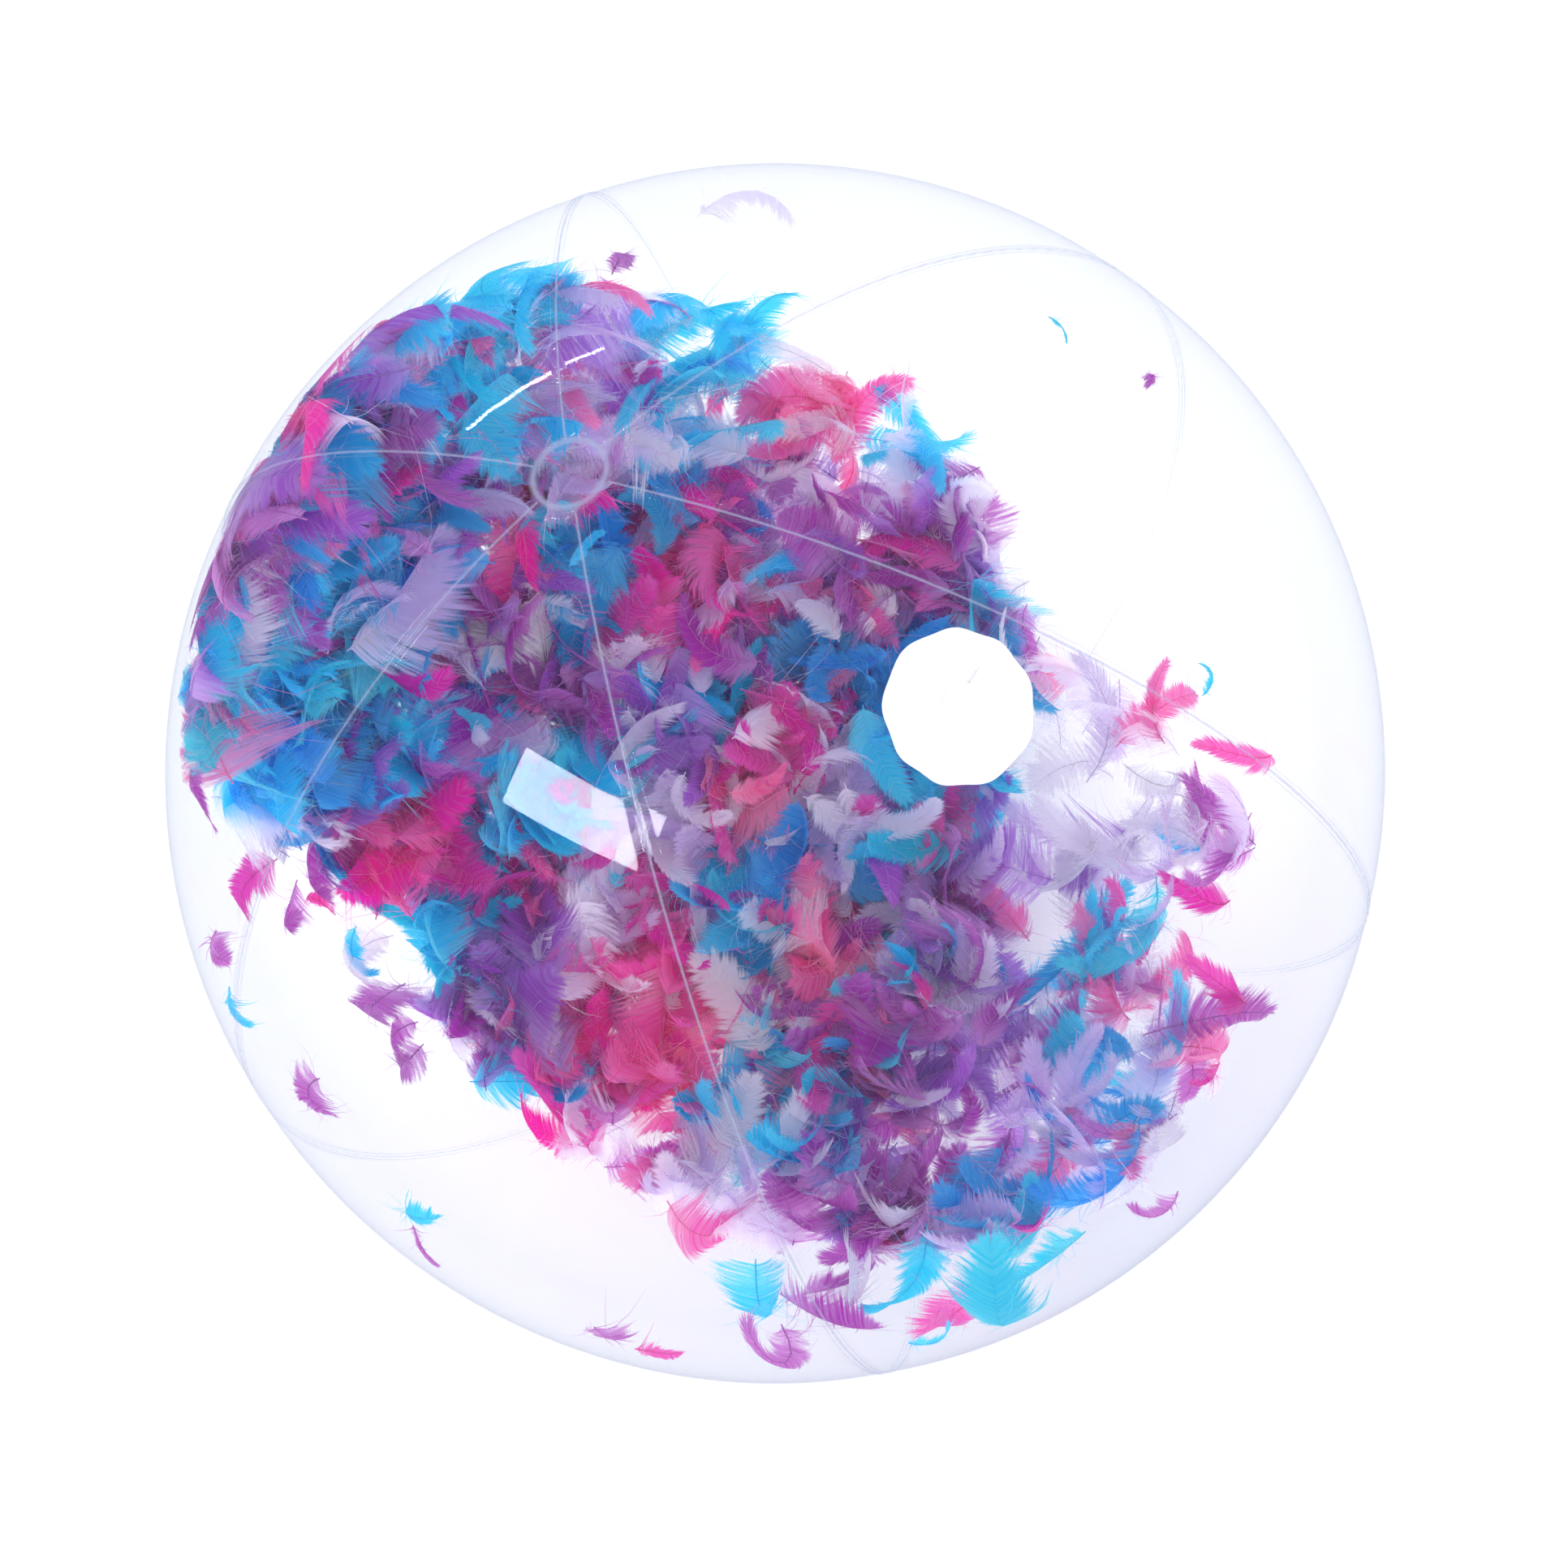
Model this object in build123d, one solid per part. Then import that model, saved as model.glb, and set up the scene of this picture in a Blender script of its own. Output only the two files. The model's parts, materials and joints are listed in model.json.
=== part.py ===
from build123d import *

import math
import os
import random

# A clear inflatable ball, welded from vinyl gores, with loose dyed feathers shut inside it.
# The origin is the ball's centre. +Z runs along the pole axis, and the valve leans from it towards -Y.
# Every length is in millimetres and every angle in degrees.

# Driving dimensions of the skin
BALL_RADIUS = 242.5
FILM = 0.3
PANEL_COUNT = 6
FIRST_SEAM_AZIMUTH = 43.5
SEAM_WIDTH = 3.0
SEAM_RISE = 0.3
CAP_RADIUS = 12.0
CAP_RISE = 0.5

# Driving dimensions of the valve, along its own axis through the ball's centre
VALVE_LEAN = 30.0
PATCH_RADIUS = 21.0
PATCH_RISE = 0.5
FLANGE_RADIUS = 14.0
FLANGE_THICKNESS = 1.0
COLLAR_RADIUS = 6.5
COLLAR_BORE = 5.3
COLLAR_DEPTH = 8.0
STEM_RADIUS = 5.0
STEM_BORE = 3.0
STEM_LENGTH = 24.0
LIP_RADIUS = 7.5
LIP_THICKNESS = 1.2
PLUG_SHANK_RADIUS = 2.95
PLUG_SHANK_LENGTH = 8.0
PLUG_HEAD_RADIUS = 6.0
PLUG_HEAD_THICKNESS = 1.5
EDGE_SOFTENING = 0.4
STRAP_WIDTH = 4.0
STRAP_THICKNESS = 0.7
STRAP_REACH = 10.5
STRAP_GAP = 0.3
FLAP_RADIUS = 4.2
FLAP_THICKNESS = 0.6
FLAP_HINGE_Y = 4.5
FLAP_TAB_WIDTH = 3.0

# Driving dimensions of the feathers
FEATHER_THICKNESS = 0.6
FEATHER_LENGTHS = (46.0, 60.0)
FEATHER_WIDTHS = (13.0, 18.0)
STRAY_LENGTHS = (38.0, 50.0)
FEATHER_SPACING = 62.0
WIDEST_PART = 0.12  # how far the widest part lies from the middle, as a share of the length

# The bed of feathers lies against the lower wall, in a band that is longer one way than the other.
PILE_COLOURS = ("purple", "cyan", "magenta", "violet", "deep_blue", "pink", "lilac", "white")
STRAY_COLOURS = ("purple", "cyan", "magenta", "white")
PILE_AZIMUTH = 79.0
PILE_FROM_BOTTOM = 34.0
PILE_HALF_WIDTH = 50.0
PILE_EXTRA_LENGTH = 44.0
PILE_OUTER_RADIUS = 235.5
LAYER_STEP = 3.2
LAYER_SHRINK = 0.055
FEATHERS_PER_LAYER = 12
STRAY_RADIUS = 239.0
STRAYS_PER_COLOUR = 5
STRAY_MARGINS = (8.0, 20.0)
CLEAR_OF_TOP = 45.0  # strays keep this far from the top pole, so that they pass under the valve
SEED = 11

INNER_RADIUS = BALL_RADIUS - FILM
VALVE_FACE = BALL_RADIUS + PATCH_RISE
LIP_TOP = VALVE_FACE + LIP_THICKNESS
STEM_END = VALVE_FACE - STEM_LENGTH
PANEL_ANGLE = 360 / PANEL_COUNT
CAP_ANGLE = math.degrees(math.asin(CAP_RADIUS / BALL_RADIUS))
VALVE_PLACE = Rot(VALVE_LEAN, 0, 0)


def on_circle(radius, polar):
    """A point in the XZ plane, at an angle from +Z."""
    angle = math.radians(polar)
    return (radius * math.sin(angle), 0, radius * math.cos(angle))


def shell_profile(low, high, start, end):
    """The half section of a spherical shell between two radii and two angles from +Z."""
    middle = (start + end) / 2
    outer = ThreePointArc(on_circle(high, start), on_circle(high, middle), on_circle(high, end))
    inner = ThreePointArc(on_circle(low, start), on_circle(low, middle), on_circle(low, end))
    ends = [Line(outer @ 0, inner @ 0), Line(outer @ 1, inner @ 1)]
    return make_face([*outer.edges(), *inner.edges(), *(edge for line in ends for edge in line.edges())])


def shell(low, high, start, end, turn=360.0):
    """A spherical shell about Z, centred on the +X side when it is less than a full turn."""
    solid = revolve(shell_profile(low, high, start, end), Axis.Z, turn)
    return solid if turn == 360.0 else Rot(0, 0, -turn / 2) * solid


def disc_on_ball(low, high, radius):
    """A round disc that follows the ball's curve, centred on +Z."""
    return shell(low, high, 0, math.degrees(math.asin(radius / BALL_RADIUS)))


def tube(radius, bore, bottom, top):
    """A round tube about Z between two heights."""
    height = top - bottom
    return Pos(0, 0, (top + bottom) / 2) * (Cylinder(radius, height) - Cylinder(bore, height))


def rod(radius, bottom, top):
    """A round rod about Z between two heights."""
    return Pos(0, 0, (top + bottom) / 2) * Cylinder(radius, top - bottom)


def seam_slab():
    """The slab that a weld fills, from the pole axis out past the film on the +X side."""
    reach = BALL_RADIUS + SEAM_RISE + 1
    return Pos(reach / 2, 0, 0) * Box(reach, SEAM_WIDTH, 2 * reach)


def seam():
    band = shell(INNER_RADIUS, BALL_RADIUS + SEAM_RISE, CAP_ANGLE, 180 - CAP_ANGLE, PANEL_ANGLE)
    return band & seam_slab()


def panel():
    """One gore of clear film, between the welds either side of it."""
    gore = shell(INNER_RADIUS, BALL_RADIUS, CAP_ANGLE, 180 - CAP_ANGLE, PANEL_ANGLE)
    for side in (-1, 1):
        gore -= Rot(0, 0, side * PANEL_ANGLE / 2) * seam_slab()
    return gore


def pole_cap():
    """The round clear disc that closes a pole, where the gores' tips meet."""
    return shell(INNER_RADIUS, BALL_RADIUS + CAP_RISE, 0, CAP_ANGLE)


def valve_hole():
    """What the valve's collar takes out of the film and the patch."""
    return rod(COLLAR_RADIUS, BALL_RADIUS - 2 * COLLAR_DEPTH, BALL_RADIUS + COLLAR_DEPTH)


def valve_patch():
    """The opaque white disc welded over the film, round the valve."""
    return disc_on_ball(BALL_RADIUS, VALVE_FACE, PATCH_RADIUS) - valve_hole()


def valve_flange():
    """The moulded ring behind the film, with the collar that the stem slides in."""
    ring = disc_on_ball(INNER_RADIUS - FLANGE_THICKNESS, INNER_RADIUS, FLANGE_RADIUS) - valve_hole()
    return ring + tube(COLLAR_RADIUS, COLLAR_BORE, VALVE_FACE - COLLAR_DEPTH, VALVE_FACE)


def valve_stem():
    """The soft tube that is blown into, pushed in until its lip lies on the collar."""
    body = tube(STEM_RADIUS, STEM_BORE, STEM_END, LIP_TOP)
    lip = tube(LIP_RADIUS, STEM_BORE, VALVE_FACE, LIP_TOP)
    whole = body + lip
    top_edges = whole.edges().filter_by(GeomType.CIRCLE).group_by(Axis.Z)[-1]
    return fillet(top_edges.sort_by(SortBy.RADIUS)[-1], EDGE_SOFTENING)


def valve_plug():
    """The stopper, with its shank in the stem's bore and its head on the lip."""
    shank = rod(PLUG_SHANK_RADIUS, LIP_TOP - PLUG_SHANK_LENGTH, LIP_TOP)
    head = rod(PLUG_HEAD_RADIUS, LIP_TOP, LIP_TOP + PLUG_HEAD_THICKNESS)
    shank = chamfer(shank.edges().sort_by(Axis.Z)[0], EDGE_SOFTENING)
    head = fillet(head.edges().filter_by(GeomType.CIRCLE).sort_by(Axis.Z)[-1], EDGE_SOFTENING)
    return shank + head


def plug_strap():
    """The flat strap from the plug's head, round to the side of the stem's lip."""
    top = LIP_TOP + PLUG_HEAD_THICKNESS / 2 + STRAP_THICKNESS / 2
    bottom = VALVE_FACE + STRAP_GAP
    inner = LIP_RADIUS + STRAP_GAP
    outline = Polyline(
        (PLUG_HEAD_RADIUS - 1, 0, top),
        (STRAP_REACH, 0, top),
        (STRAP_REACH, 0, bottom),
        (inner, 0, bottom),
        (inner, 0, bottom + STRAP_THICKNESS),
        (STRAP_REACH - STRAP_THICKNESS, 0, bottom + STRAP_THICKNESS),
        (STRAP_REACH - STRAP_THICKNESS, 0, top - STRAP_THICKNESS),
        (PLUG_HEAD_RADIUS - 1, 0, top - STRAP_THICKNESS),
        close=True,
    )
    strip = extrude(make_face(outline.edges()), amount=STRAP_WIDTH / 2, both=True)
    return strip - rod(PLUG_HEAD_RADIUS, LIP_TOP, LIP_TOP + PLUG_HEAD_THICKNESS)


def valve_flap():
    """The thin check flap that air pressure shuts against the stem's inner end."""
    disc = rod(FLAP_RADIUS, STEM_END - FLAP_THICKNESS, STEM_END)
    tab_length = FLAP_HINGE_Y / 2
    tab = Pos(0, FLAP_HINGE_Y - tab_length / 2, STEM_END - FLAP_THICKNESS / 2)
    return disc + tab * Box(FLAP_TAB_WIDTH, tab_length, FLAP_THICKNESS)


def feather_blade(length, width):
    """A feather as a plain thin leaf, round at the tip half and narrow at the quill half."""
    quill, tip = (-length / 2, 0), (length / 2, 0)
    widest = WIDEST_PART * length
    upper = ThreePointArc(quill, (widest, width / 2), tip)
    lower = ThreePointArc(tip, (widest, -width / 2), quill)
    return extrude(make_face([*upper.edges(), *lower.edges()]), amount=FEATHER_THICKNESS)


def pile_axes():
    """The direction to the middle of the feather bed, and the ways across it and along it."""
    azimuth, lean = math.radians(PILE_AZIMUTH), math.radians(PILE_FROM_BOTTOM)
    middle = Vector(math.sin(lean) * math.cos(azimuth), math.sin(lean) * math.sin(azimuth), -math.cos(lean))
    across = middle.cross(Vector(0, 0, 1)).normalized()
    return middle, across, middle.cross(across)


def pile_reach(turn):
    """How far the bed reaches from its middle, as an angle at the ball's centre."""
    return PILE_HALF_WIDTH + PILE_EXTRA_LENGTH * math.sin(math.radians(turn)) ** 2


def pile_direction(turn, reach):
    """The direction a given angle away from the bed's middle, on a given side of it."""
    middle, across, along = pile_axes()
    side = across * math.cos(math.radians(turn)) + along * math.sin(math.radians(turn))
    return middle * math.cos(math.radians(reach)) + side * math.sin(math.radians(reach))


def place_feather(rng, direction, radius, lengths):
    """A leaf lying flat against a sphere of the given radius, turned any way."""
    leaf = feather_blade(rng.uniform(*lengths), rng.uniform(*FEATHER_WIDTHS))
    tangent = direction.cross(Vector(0, 0, 1)).normalized()
    ground = Plane(origin=direction * radius, x_dir=tangent, z_dir=direction)
    return ground.location * Rot(0, 0, rng.uniform(0, 360)) * leaf


def scatter(rng, count, radius, pick_direction):
    """Directions far enough apart for their leaves never to meet on one sphere."""
    found = []
    while len(found) < count:
        direction = pick_direction(rng)
        if all(((direction - other) * radius).length > FEATHER_SPACING for other in found):
            found.append(direction)
    return found


def pile_layer(rng, layer):
    """One colour of the feather bed, on its own sphere, smaller the higher it lies."""
    share = 1 - LAYER_SHRINK * layer

    def pick(rng):
        while True:
            turn, reach = rng.uniform(0, 360), rng.uniform(0, PILE_HALF_WIDTH + PILE_EXTRA_LENGTH)
            even = rng.random() < math.sin(math.radians(reach))
            if even and reach < share * pile_reach(turn):
                return pile_direction(turn, reach)

    radius = PILE_OUTER_RADIUS - LAYER_STEP * layer
    places = scatter(rng, FEATHERS_PER_LAYER, radius, pick)
    return [place_feather(rng, place, radius, FEATHER_LENGTHS) for place in places]


def stray_groups(rng):
    """The feathers that cling to the film by themselves, round the edge of the bed."""

    def pick(rng):
        while True:
            turn = rng.uniform(0, 360)
            direction = pile_direction(turn, pile_reach(turn) + rng.uniform(*STRAY_MARGINS))
            if direction.Z < math.cos(math.radians(CLEAR_OF_TOP)):
                return direction

    places = scatter(rng, STRAYS_PER_COLOUR * len(STRAY_COLOURS), STRAY_RADIUS, pick)
    leaves = [place_feather(rng, place, STRAY_RADIUS, STRAY_LENGTHS) for place in places]
    return {colour: leaves[index :: len(STRAY_COLOURS)] for index, colour in enumerate(STRAY_COLOURS)}


def save(name, shape):
    shape.label = name
    export_step(shape, f"parts/{name}.step")


def save_skin():
    hole = VALVE_PLACE * valve_hole()
    for index in range(PANEL_COUNT):
        azimuth = FIRST_SEAM_AZIMUTH + index * PANEL_ANGLE
        save(f"seam_{index + 1}", Rot(0, 0, azimuth) * seam())
        gore = Rot(0, 0, azimuth + PANEL_ANGLE / 2) * panel()
        holds_valve = (azimuth + PANEL_ANGLE) % 360 > 270 > azimuth % 360
        save(f"panel_{index + 1}", gore - hole if holds_valve else gore)
    save("top_cap", pole_cap())
    save("bottom_cap", Rot(180, 0, 0) * pole_cap())


def save_valve():
    pieces = (valve_patch, valve_flange, valve_stem, valve_plug, plug_strap, valve_flap)
    for piece in pieces:
        save(piece.__name__, VALVE_PLACE * piece())


def save_feathers():
    rng = random.Random(SEED)
    for layer, colour in enumerate(PILE_COLOURS):
        save(f"{colour}_feathers", Compound(children=pile_layer(rng, layer)))
    for colour, leaves in stray_groups(rng).items():
        save(f"stray_{colour}_feathers", Compound(children=leaves))


os.makedirs("parts", exist_ok=True)
save_skin()
save_valve()
save_feathers()
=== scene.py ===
"""The looks of a clear inflatable ball with loose dyed feathers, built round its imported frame."""

import json
import math

import bpy
import numpy as np
from mathutils import Matrix, Quaternion, Vector


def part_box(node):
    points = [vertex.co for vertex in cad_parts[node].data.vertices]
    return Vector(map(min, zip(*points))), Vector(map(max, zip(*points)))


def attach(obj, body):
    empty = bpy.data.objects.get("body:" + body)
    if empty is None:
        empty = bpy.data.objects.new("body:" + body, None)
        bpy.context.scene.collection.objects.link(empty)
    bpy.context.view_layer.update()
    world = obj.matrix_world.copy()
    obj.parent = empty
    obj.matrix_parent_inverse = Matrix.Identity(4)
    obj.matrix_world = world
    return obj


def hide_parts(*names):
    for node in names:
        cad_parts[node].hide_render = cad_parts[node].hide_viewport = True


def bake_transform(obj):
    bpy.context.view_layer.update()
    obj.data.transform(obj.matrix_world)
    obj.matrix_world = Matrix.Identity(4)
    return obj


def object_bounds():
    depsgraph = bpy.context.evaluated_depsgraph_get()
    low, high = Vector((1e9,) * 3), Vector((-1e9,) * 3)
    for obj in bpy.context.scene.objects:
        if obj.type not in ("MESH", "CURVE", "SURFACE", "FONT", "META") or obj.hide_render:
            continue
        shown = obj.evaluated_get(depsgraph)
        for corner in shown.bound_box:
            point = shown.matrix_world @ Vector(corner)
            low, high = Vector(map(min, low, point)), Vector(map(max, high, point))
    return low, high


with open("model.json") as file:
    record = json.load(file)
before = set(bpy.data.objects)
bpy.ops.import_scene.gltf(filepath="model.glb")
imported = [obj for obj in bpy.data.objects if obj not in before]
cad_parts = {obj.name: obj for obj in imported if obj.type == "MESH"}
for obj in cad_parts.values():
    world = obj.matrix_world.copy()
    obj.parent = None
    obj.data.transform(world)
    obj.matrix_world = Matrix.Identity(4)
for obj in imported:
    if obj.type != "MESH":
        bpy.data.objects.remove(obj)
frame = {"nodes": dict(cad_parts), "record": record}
cad_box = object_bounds()

MM = 0.001
UP = np.array((0.0, 0.0, 1.0))

# The skin, read from the frame
PANELS = sorted(name for name in frame["nodes"] if name.startswith("panel_"))
SEAMS = sorted(name for name in frame["nodes"] if name.startswith("seam_"))
CAP_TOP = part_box("top_cap")[1][2]
BALL_RADIUS = CAP_TOP - 0.5 * MM
FILM = 0.3 * MM
SEAM_RISE = 0.3 * MM
SEAM_WIDTH = 3.0 * MM
CAP_RADIUS = 12.0 * MM
FIRST_SEAM_AZIMUTH = 43.5
PANEL_ANGLE = 360 / len(PANELS)

# Its puckers: height, spacing along a weld and fade away from it, then those round a cap, and two broad swells
PUCKER_HEIGHT = 0.12 * MM
PUCKER_SPACING = 8.5 * MM
PUCKER_FADE = 6 * MM
CAP_PUCKER_HEIGHT = 0.16 * MM
CAP_PUCKER_COUNT = 17
CAP_PUCKER_FADE = 9 * MM
SWELL_HEIGHT = 0.5 * MM
SWELL_FADE = 25 * MM
BROAD_HEIGHT = 0.35 * MM

# The valve, which leans from the pole axis towards -Y
VALVE_LEAN = 30.0
PATCH_RADIUS = 21.0 * MM
PATCH_RISE = 0.5 * MM
COLLAR_RADIUS = 6.5 * MM
VALVE_FACE = BALL_RADIUS + PATCH_RISE
PATCH_CORNERS = 9
PATCH_WOBBLE = 0.018  # how far the corners stand out, as a share of the radius

# The strap's middle line in mm, out from the valve's axis and up from its face
STRAP_PATH = (
    (6.8, 0.6), (8.6, 0.55), (10.4, 0.7), (11.5, 1.4), (11.3, 2.4), (10.0, 2.9), (8.0, 2.7), (5.4, 2.1),
)
STRAP_HALF = (2.0, 0.35)  # half its width and half its thickness in mm, and its outline as shares of them
STRAP_OUTLINE = ((-1, -0.7), (-0.85, -1), (0.85, -1), (1, -0.7), (1, 0.7), (0.85, 1), (-0.85, 1), (-1, 0.7))

# The feather bed lies against the lower wall, round a direction given as azimuth and angle from the bottom.
# Its edge is given as (turn round that direction, reach from it), all in degrees.
PILE_AZIMUTH = 79.0
PILE_FROM_BOTTOM = 34.0
PILE_EDGE = (
    (0, 56), (25, 55), (40, 76), (55, 87), (70, 92), (90, 98), (105, 94), (120, 85), (140, 76), (155, 63),
    (180, 58), (200, 53), (217, 68), (230, 92), (245, 103), (262, 104), (272, 100), (285, 86), (300, 77),
    (320, 66), (340, 61),
)
# Round these the bed grows thin, and its feathers are dyed paler, which is painted light shining through from
# behind:
# azimuth, angle from the bottom and reach in degrees, and how strongly
PALE_SPOTS = (
    (308, 66, 59, 1.0), (26, 80, 34, 0.7), (44, 104, 30, 0.6), (195, 58, 28, 0.5), (256, 52, 32, 0.8),
    (40, 82, 24, 0.4),
)
PALE_RAMP = 20
PALE_GAPS = 0.76  # the share of feathers missing where it is palest
PILE_DEPTH = 58 * MM
PILE_COUNT = 1500
BED_END = 1.04  # the bed ends at this share of its reach, and thins out over the next share
BED_FADE = 0.10
WALL_GAP = 0.9 * MM
WALL_SPREAD = 1.2  # in mm
PRESS_SOFTNESS = 1.6 * MM
SEED = 5

# Where each colour gathers, as (azimuth, angle from the bottom) in degrees
PATCHES = {
    "magenta": [
        (90, 135), (65, 60), (70, 30), (120, 70), (125, 45), (135, 30), (170, 65), (75, 85), (150, 45),
    ],
    "pink": [
        (25, 90), (75, 85), (75, 25), (180, 10), (290, 60), (30, 80), (325, 60), (170, 30),
    ],
    "cyan": [
        (40, 90), (45, 100), (68, 120), (111, 118), (108, 84), (113, 100), (75, 40), (110, 60), (290, 30),
        (190, 35), (250, 55), (120, 20), (0, 20), (70, 105), (20, 70), (135, 60), (235, 15),
    ],
    "purple": [
        (80, 135), (83, 114), (76, 95), (85, 60), (85, 75), (65, 50), (100, 130), (105, 80), (140, 55),
        (235, 20), (235, 35), (215, 55), (30, 60), (15, 55), (115, 85), (300, 20), (185, 20),
    ],
    "deep_blue": [
        (75, 10), (185, 20), (145, 75), (70, 75), (95, 130), (113, 94), (88, 98), (99, 71), (25, 35),
        (250, 55),
    ],
    "lilac": [
        (97, 88), (62, 90), (62, 52), (55, 102), (40, 15), (95, 35), (320, 40), (130, 45), (185, 50),
        (310, 50),
    ],
}
COLOURS = ("purple", "cyan", "magenta", "violet", "deep_blue", "pink", "lilac", "white")
STRAY_COLOURS = ("purple", "cyan", "magenta", "white")
COLOUR_SHARES = (0.22, 0.15, 0.15, 0.10, 0.07, 0.09, 0.13, 0.09)
PATCH_SHARE = 0.80  # how many take their patch's colour, and how unsharp a patch's edge is
PATCH_BLUR = 0.004
SWAP_SHARE = 0.33  # how many take the colour nearest to their patch's
PALE_PICK = (0.10, 0.35)  # how many are pale anywhere, and how many more where the bed is pale

# Each plume's deep colour, where it lies thick, and its pale colour, at the down and the thin edge
PLUME_COLOURS = {
    "purple": ((0.47, 0.02, 0.46), (0.76, 0.40, 0.78)),
    "cyan": ((0.0, 0.66, 0.95), (0.20, 0.86, 1.0)),
    "magenta": ((0.90, 0.004, 0.45), (0.97, 0.28, 0.66)),
    "violet": ((0.40, 0.08, 0.60), (0.64, 0.46, 0.86)),
    "deep_blue": ((0.002, 0.34, 0.78), (0.16, 0.64, 0.96)),
    "pink": ((0.97, 0.07, 0.43), (1.0, 0.46, 0.70)),
    "lilac": ((0.66, 0.50, 0.84), (0.90, 0.84, 0.97)),
    "white": ((0.86, 0.81, 0.95), (0.98, 0.96, 1.0)),
}

# The clear film: its tint face on, and at a slant the darker grey-blue that is painted shade along its outline,
# the slants between which that grows and how far, how sharply and how far it grows again at the outline, and
# how milky a pressed line is
FILM_TINT_AND_RIM_SHADE = ((0.995, 0.996, 1.0, 1.0), (0.62, 0.65, 0.71, 1.0))
SLANT_RANGE = (0.30, 0.60)
SLANT_SHADE = 0.12
RIM_SHARPNESS = 9.0
RIM_SHADE = 0.3
LINE_MILK = 0.40
MILK_COLOUR = (0.60, 0.66, 0.82, 1.0)
GLOSS_COLOUR = (0.93, 0.95, 1, 1)
# How much of a mirror it is face on, how much more at the outline, and how sharply that grows
MIRROR_FACE = 0.008
MIRROR_RIM = 0.07
MIRROR_SHARPNESS = 7.0

# The plumes: how far a barb's streak deepens the dye and opens gaps, how closed the web is, how sharply a gap
# ends, and how much of the light passes through
STREAK_DYE = 1.5
STREAK_GAPS = 1.7
WEB_CLOSED = 0.92
GAP_SHARPNESS = 2.0
GLOW_SHARE = 0.55

# A feather's thin parts, and how many loose barbs it has, the first of them in its down
QUILL_THICKNESS = 0.8 * MM
WISP_THICKNESS = 0.42 * MM
WISP_COUNT = 34
DOWN_WISP_COUNT = 18
SKEW_WAY = np.array((0.31, 0.55, 0.77))  # any way that no quill or barb follows

# The camera, seen from the ball's centre
VIEW_AZIMUTH = 245.5
VIEW_ELEVATION = 65.5
VIEW_ROLL = 34.5
VIEW_DISTANCE = 2.5 * BALL_RADIUS
LENS = 32.07
SENSOR_WIDTH = 36.0
SHIFT = (0.0054, -0.0070)

# The lights that show in the near film, each given by the place on the film that mirrors its middle
# (azimuth, angle from the bottom), the way to the light (azimuth, elevation), its size, roll and power
LIGHT_DISTANCE = 1.6
LIGHTS = {
    "key": ((214.5, 157.7), (172.1, 58.9), (0.77, 0.285), 7.0, 25.0),
    "strip": ((56.4, 172.0), (62.7, 30.1), (0.61, 0.02), 0.0, 2.7),
}
SKY = ((1.12, 1.13, 1.16), (1.50, 1.51, 1.54))  # away from the bright side, and towards it
SKY_BRIGHT_WAY = (0.11, -0.75, -0.65)
SKY_FADE = (-0.9, 0.3)  # the cosines to the bright way between which one turns into the other
FLOOR_HALF_SIZE = 6.0
FLOOR_GAP = 0.0005


def direction(azimuth, from_bottom):
    """Unit vectors at an azimuth and an angle from -Z, in degrees."""
    azimuth, tilt = np.radians(azimuth), np.radians(from_bottom)
    return np.stack(
        [np.sin(tilt) * np.cos(azimuth), np.sin(tilt) * np.sin(azimuth), -np.cos(tilt)], axis=-1
    )


def unit(vectors):
    return vectors / np.linalg.norm(vectors, axis=-1, keepdims=True)


# Meshes


def make_object(name, points, faces, body, nodes, material, values=None):
    """A smooth mesh object that rides on a body and stands for the nodes."""
    mesh = bpy.data.meshes.new(name)
    faces = np.asarray(faces, dtype=np.int32)
    count, corners = faces.shape
    mesh.vertices.add(len(points))
    mesh.vertices.foreach_set("co", np.asarray(points, dtype=np.float32).ravel())
    mesh.loops.add(count * corners)
    mesh.loops.foreach_set("vertex_index", faces.ravel())
    mesh.polygons.add(count)
    mesh.polygons.foreach_set("loop_start", np.arange(0, count * corners, corners, dtype=np.int32))
    mesh.update(calc_edges=True)
    mesh.shade_smooth()
    for attribute, value in (values or {}).items():
        value = np.asarray(value, dtype=np.float32)
        flat = value.ndim == 1
        made = mesh.attributes.new(attribute, "FLOAT" if flat else "FLOAT_VECTOR", "POINT")
        made.data.foreach_set("value" if flat else "vector", value.ravel())
    mesh.materials.append(material)
    made = bpy.data.objects.new(name, mesh)
    bpy.context.scene.collection.objects.link(made)
    if body:
        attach(made, body)
    if nodes:
        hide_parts(*nodes)
    return made


def grid_faces(rows, columns, closed=False, start=0):
    """Quads over a grid of points, which wraps round across its columns when closed."""
    row = np.arange(rows - 1)[:, None]
    column = np.arange(columns if closed else columns - 1)[None, :]
    after = (column + 1) % columns
    quads = np.stack(
        [
            row * columns + column,
            row * columns + after,
            (row + 1) * columns + after,
            (row + 1) * columns + column,
        ],
        axis=-1,
    )
    return quads.reshape(-1, 4) + start


# Materials


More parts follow.
